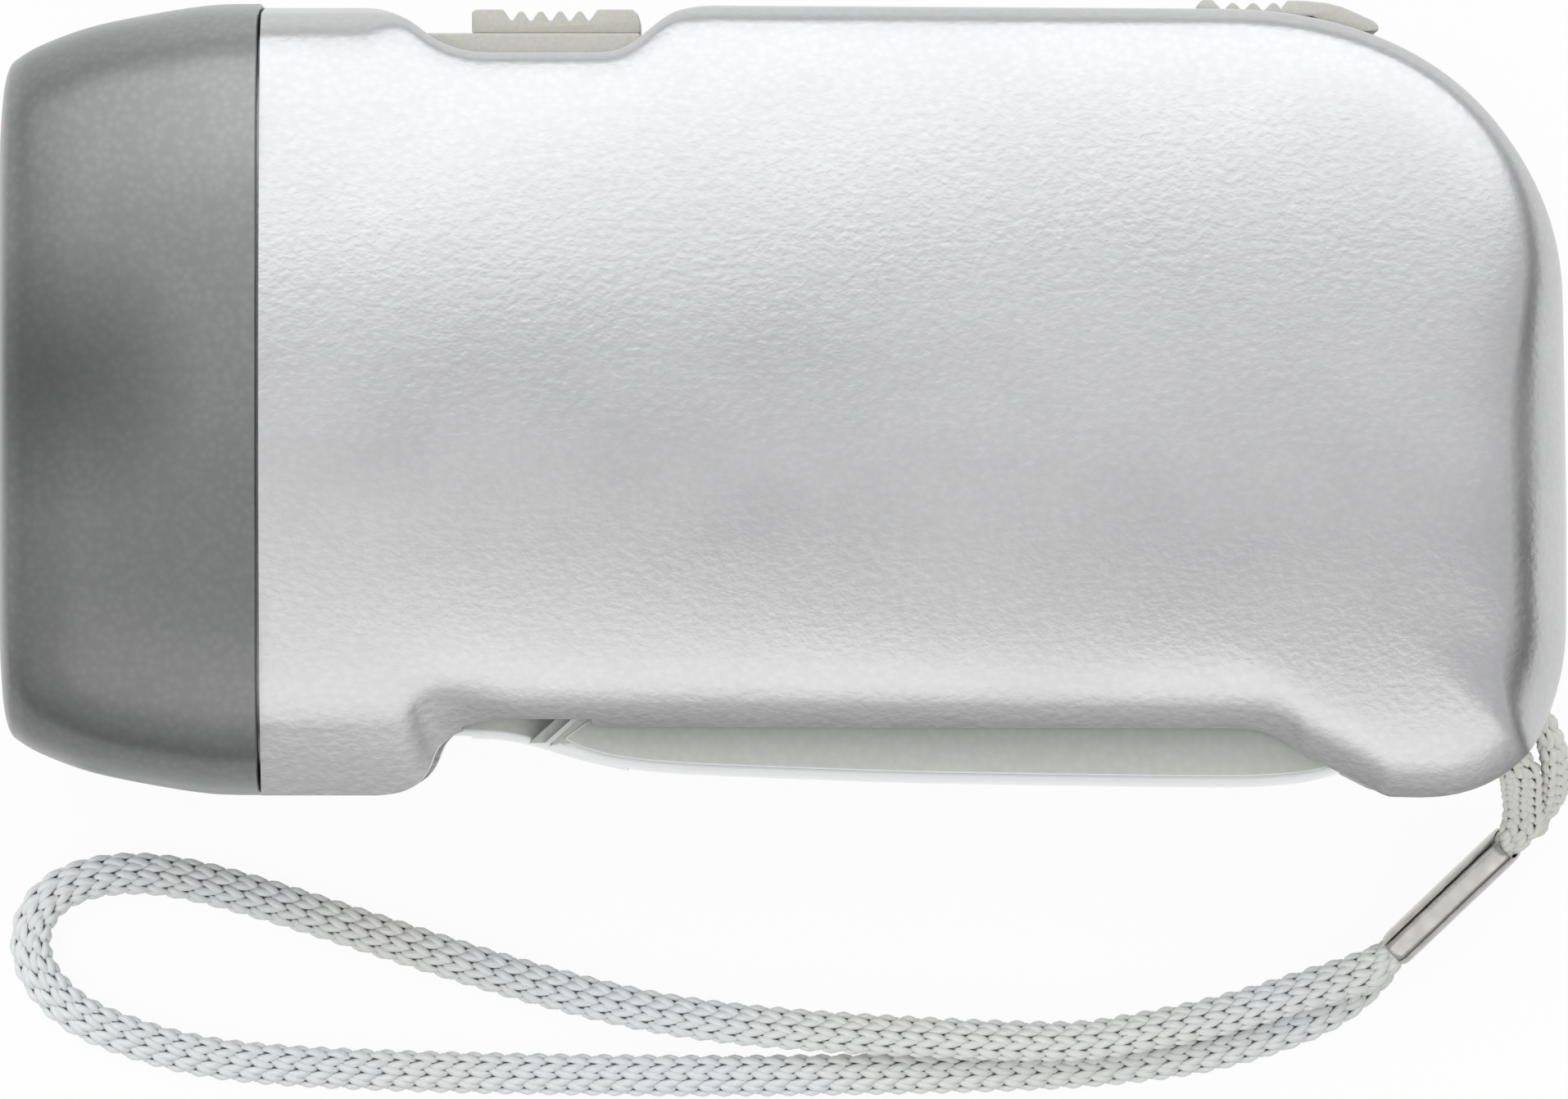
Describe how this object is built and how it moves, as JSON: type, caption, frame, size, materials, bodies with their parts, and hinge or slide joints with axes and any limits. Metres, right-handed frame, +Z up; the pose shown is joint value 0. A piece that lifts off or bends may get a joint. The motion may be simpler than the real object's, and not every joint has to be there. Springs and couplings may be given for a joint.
{
  "type": "hand-squeeze dynamo torch",
  "caption": "Pocket torch driven by a squeeze lever and a geared generator, with a smoked hood, slide switch, lever lock and wrist strap.",
  "frame": {"origin": "on the ground under the middle of the torch, which lies on its far side; the strap lies on the same ground", "axes": "+X from the lens to the strap end, +Y from the lever side to the switch side, +Z up through the near side"},
  "size_m": [0.1064, 0.0742, 0.037],
  "materials": {
    "silver": "silver painted plastic with a fine orange-peel texture",
    "smoked": "smoked grey translucent plastic, satin",
    "clear": "clear polished plastic",
    "chromed": "vacuum-metallised plastic",
    "led": "clear epoxy",
    "board": "green solder resist on glass laminate",
    "switch_grey": "moulded light grey plastic",
    "black": "moulded black plastic",
    "lever_grey": "moulded grey plastic, semi-matt",
    "steel": "bright steel",
    "nylon": "white nylon",
    "brass": "turned brass",
    "magnet": "sintered magnet",
    "core": "laminated steel",
    "copper": "enamelled copper wire",
    "cells": "steel cells in a green sleeve",
    "wire": "insulated wire",
    "cord": "plaited light grey polyester"
  },
  "bodies": {
    "housing": {"shell_near": "silver", "shell_far": "silver", "head_shell": "smoked", "front_lens": "clear", "reflector": "chromed", "led_upper": "led", "led_lower": "led", "led_board": "board", "switch_plate": "switch_grey", "switch_body": "black", "lever_pivot_pin": "steel", "lever_spring": "steel", "first_axle": "steel", "second_axle": "steel", "gear_plate": "steel", "stator_core": "core", "coil_bobbin": "nylon", "stator_coil": "copper", "circuit_board": "board", "battery_pack": "cells", "lamp_wire_1": "wire", "lamp_wire_2": "wire", "coil_wire_1": "wire", "coil_wire_2": "wire", "case_screw_1": "steel", "case_screw_2": "steel", "case_screw_3": "steel", "case_screw_4": "steel", "strap_pin": "steel", "strap_small_loop": "cord", "strap_wrist_loop": "cord", "strap_ferrule": "steel"},
    "lever": {"squeeze_lever": "lever_grey"},
    "first_gear": {"drive_pinion": "nylon", "ratchet_pawl": "steel", "drive_wheel": "nylon"},
    "second_stage": {"second_gear": "nylon"},
    "rotor": {"rotor_shaft": "steel", "flywheel": "brass", "ring_magnet": "magnet"},
    "knob": {"switch_knob": "switch_grey"},
    "lock": {"lock_slider": "switch_grey"}
  },
  "joints": [
    {"name": "rotor_spin", "type": "hinge", "parent": "housing", "child": "rotor", "pos_m": [0.00819, -0.00156, 0.0185], "axis": [0, 0, -1], "range_deg": [0, 1668.74]},
    {"name": "lever_pivot", "type": "hinge", "parent": "housing", "child": "lever", "pos_m": [-0.025, -0.02016, 0.0185], "axis": [0, 0, -1], "range_deg": [0, 22], "deforming": ["lever_spring"]},
    {"name": "first_gear_spin", "type": "hinge", "parent": "housing", "child": "first_gear", "pos_m": [0.03236, -0.01159, 0.0185], "axis": [0, 0, -1], "range_deg": [0, 234.68]},
    {"name": "second_gear_spin", "type": "hinge", "parent": "housing", "child": "second_stage", "pos_m": [0.02093, -0.00499, 0.0185], "axis": [0, 0, -1], "range_deg": [-625.79, 0]},
    {"name": "switch_slide", "type": "slide", "parent": "housing", "child": "knob", "axis": [-1, 0, 0], "range_m": [0, 0.0032]},
    {"name": "lock_slide", "type": "slide", "parent": "housing", "child": "lock", "axis": [1, 0, 0], "range_m": [0, 0.0035]}
  ],
  "couplings": [
    {"joint": "lever_pivot", "follows": "rotor_spin", "ratio": 0.013184},
    {"joint": "first_gear_spin", "follows": "rotor_spin", "ratio": 0.14062},
    {"joint": "second_gear_spin", "follows": "rotor_spin", "ratio": -0.375}
  ]
}
